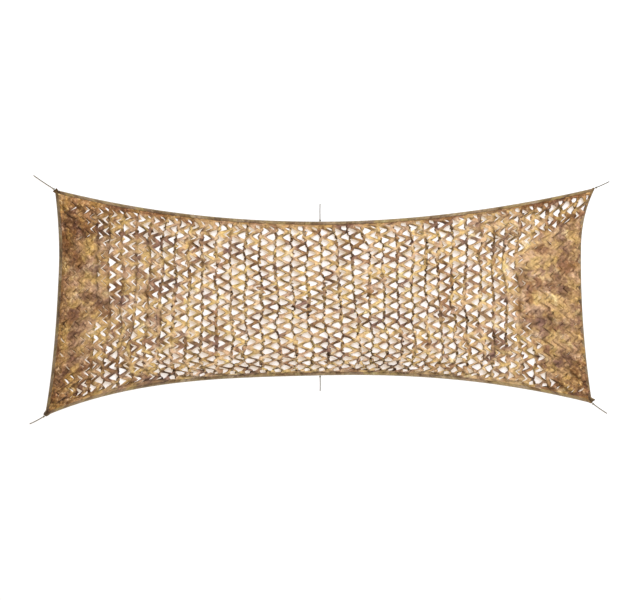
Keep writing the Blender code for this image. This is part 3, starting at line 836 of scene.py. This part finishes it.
tape_tops = {}
low_inside = BINDING["low"] + BINDING["thick"]
high_inside = BINDING["high"] - BINDING["thick"]
outer_in, outer_high = fold_skin(BINDING["low"], BINDING["high"], ROLL["wide"] + ROLL["out"], ROLL["bulge"])
inner_in, inner_high = fold_skin(low_inside, high_inside, ROLL["inside"], 0)
section_in = np.concatenate([outer_in, inner_in[::-1]])
section_high = np.concatenate([outer_high, inner_high[::-1]])
upper = np.clip((section_high - BINDING["low"]) / (BINDING["high"] - BINDING["low"]), 0, 1)
for side in SIDES:
    length = length_of(side_point(side, np.linspace(0, 1, EDGE_POINTS)))
    count = round(length / BINDING["step"]) + 1
    around = len(section_in)
    run = np.linspace(0, 1, count)[:, None]
    ripple = soft_noise((round(length / PUCKER["every"]), PUCKER["across"]), (count, around))
    high = section_high + PUCKER["high"] * ripple * upper
    inset = np.maximum(section_in + PUCKER["wide"] * ripple * (section_in > ROLL["wide"]), 0)
    outward = ear(side, run, length) * np.maximum(1 - section_in / ROLL["wide"], 0)
    outward = np.maximum(-section_in, 0) + outward
    ground = binding_place(side, run, inset) - outward[..., None] * np.array(SIDES[side]["way"])
    ring = np.concatenate([ground, high[..., None]], axis=-1)
    corner = np.arange(count * around).reshape(count, around)
    beside = np.roll(corner, -1, axis=1)
    walls = np.stack([corner[:-1], corner[1:], beside[1:], beside[:-1]], axis=-1).reshape(-1, 4)
    faces = walls.tolist() + [corner[0].tolist(), corner[-1][::-1].tolist()]
    if side in ("bottom", "right"):
        faces = [face[::-1] for face in faces]
    skin = np.stack([np.broadcast_to(run * length, inset.shape), inset - EAR_PRINT * outward], axis=-1)
    skin = np.maximum(skin, 0).reshape(-1, 2)
    tape_print = camouflage(f"binding_print_{side}", TAPE_SHADE[side], WORN_FOLD)
    tape = piece(f"binding_tape_{side}", ring.reshape(-1, 3), faces, tape_print, skin)
    # The tapes' painted shade near the corners.
    painted_corner_shade = np.zeros(inset.shape)
    for name, share in TAPE_CORNER_SHADE.items():
        far = np.linalg.norm(ground - np.array(CORNERS[name]), axis=-1)
        painted_corner_shade = painted_corner_shade + share * bell(far, TAPE_CORNER_SHADE_REACH)
    note(tape.data, "gathered_shade", painted_corner_shade)
    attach(tape, "root")
    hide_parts(f"binding_{side}")
    tape_tops[side] = (length, run[:, 0], high)

# ---- The stitches ----
# One row of lockstitch in tan thread runs round the bindings, a little in from their inner edge. It holds the
# net between the two halves of each tape.
STITCH = {"pitch": 0.0060, "long": 0.0046, "wide": 0.0009, "inset": 0.0240, "low": 0.0004, "high": 0.0005}
STITCH_TOP_SHARE = 0.7
STITCH_CORNERS = ((-1, -1), (1, -1), (1, 1), (-1, 1))
STITCH_FACES = ((3, 2, 1, 0), (4, 5, 6, 7), (0, 1, 5, 4), (1, 2, 6, 5), (2, 3, 7, 6), (3, 0, 4, 7))
THREAD_TONES = {0.3: (0.238, 0.182, 0.091), 0.7: (0.34, 0.26, 0.13)}
THREAD_STRANDS = {"Scale": 700}

stitch_points = []
seam_column = int(np.argmin(np.abs(section_in - STITCH["inset"]) + (section_high < BINDING["high"])))
for side, (length, run, high) in tape_tops.items():
    seam = np.arange(2 * STITCH["pitch"], length - 2 * STITCH["pitch"], STITCH["pitch"]) / length
    seam_place = binding_place(side, seam, np.full(len(seam), STITCH["inset"]))
    seam_high = np.interp(seam, run, high[:, seam_column])
    ahead = np.gradient(seam_place, axis=0)
    ahead /= np.linalg.norm(ahead, axis=1)[:, None]
    aside = np.stack([-ahead[:, 1], ahead[:, 0]], axis=-1)
    block = []
    for up, shrink in ((-STITCH["low"], 1.0), (STITCH["high"], STITCH_TOP_SHARE)):
        for forward, sideways in STITCH_CORNERS:
            off = shrink * (forward * STITCH["long"] * ahead + sideways * STITCH["wide"] * aside) / 2
            block.append(np.column_stack([seam_place + off, seam_high + up]))
    stitch_points.append(np.stack(block, axis=1).reshape(-1, 3))
stitch_points = np.concatenate(stitch_points)
first_corners = np.arange(0, len(stitch_points), 2 * len(STITCH_CORNERS))
stitch_faces = (first_corners[:, None, None] + np.array(STITCH_FACES)).reshape(-1, 4).tolist()

thread_finish, thread_shader = new_finish("tan_thread", {"Roughness": 0.7})
place = node(thread_finish, "TexCoord", {})["Object"]
strands = node(thread_finish, "TexNoise", {"Vector": place, **THREAD_STRANDS})["Fac"]
feed(thread_shader, {"Base Color": between_tones(thread_finish, strands, THREAD_TONES)})
stitches = piece("binding_stitches", stitch_points, stitch_faces, thread_finish, smooth=False)
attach(stitches, "root")
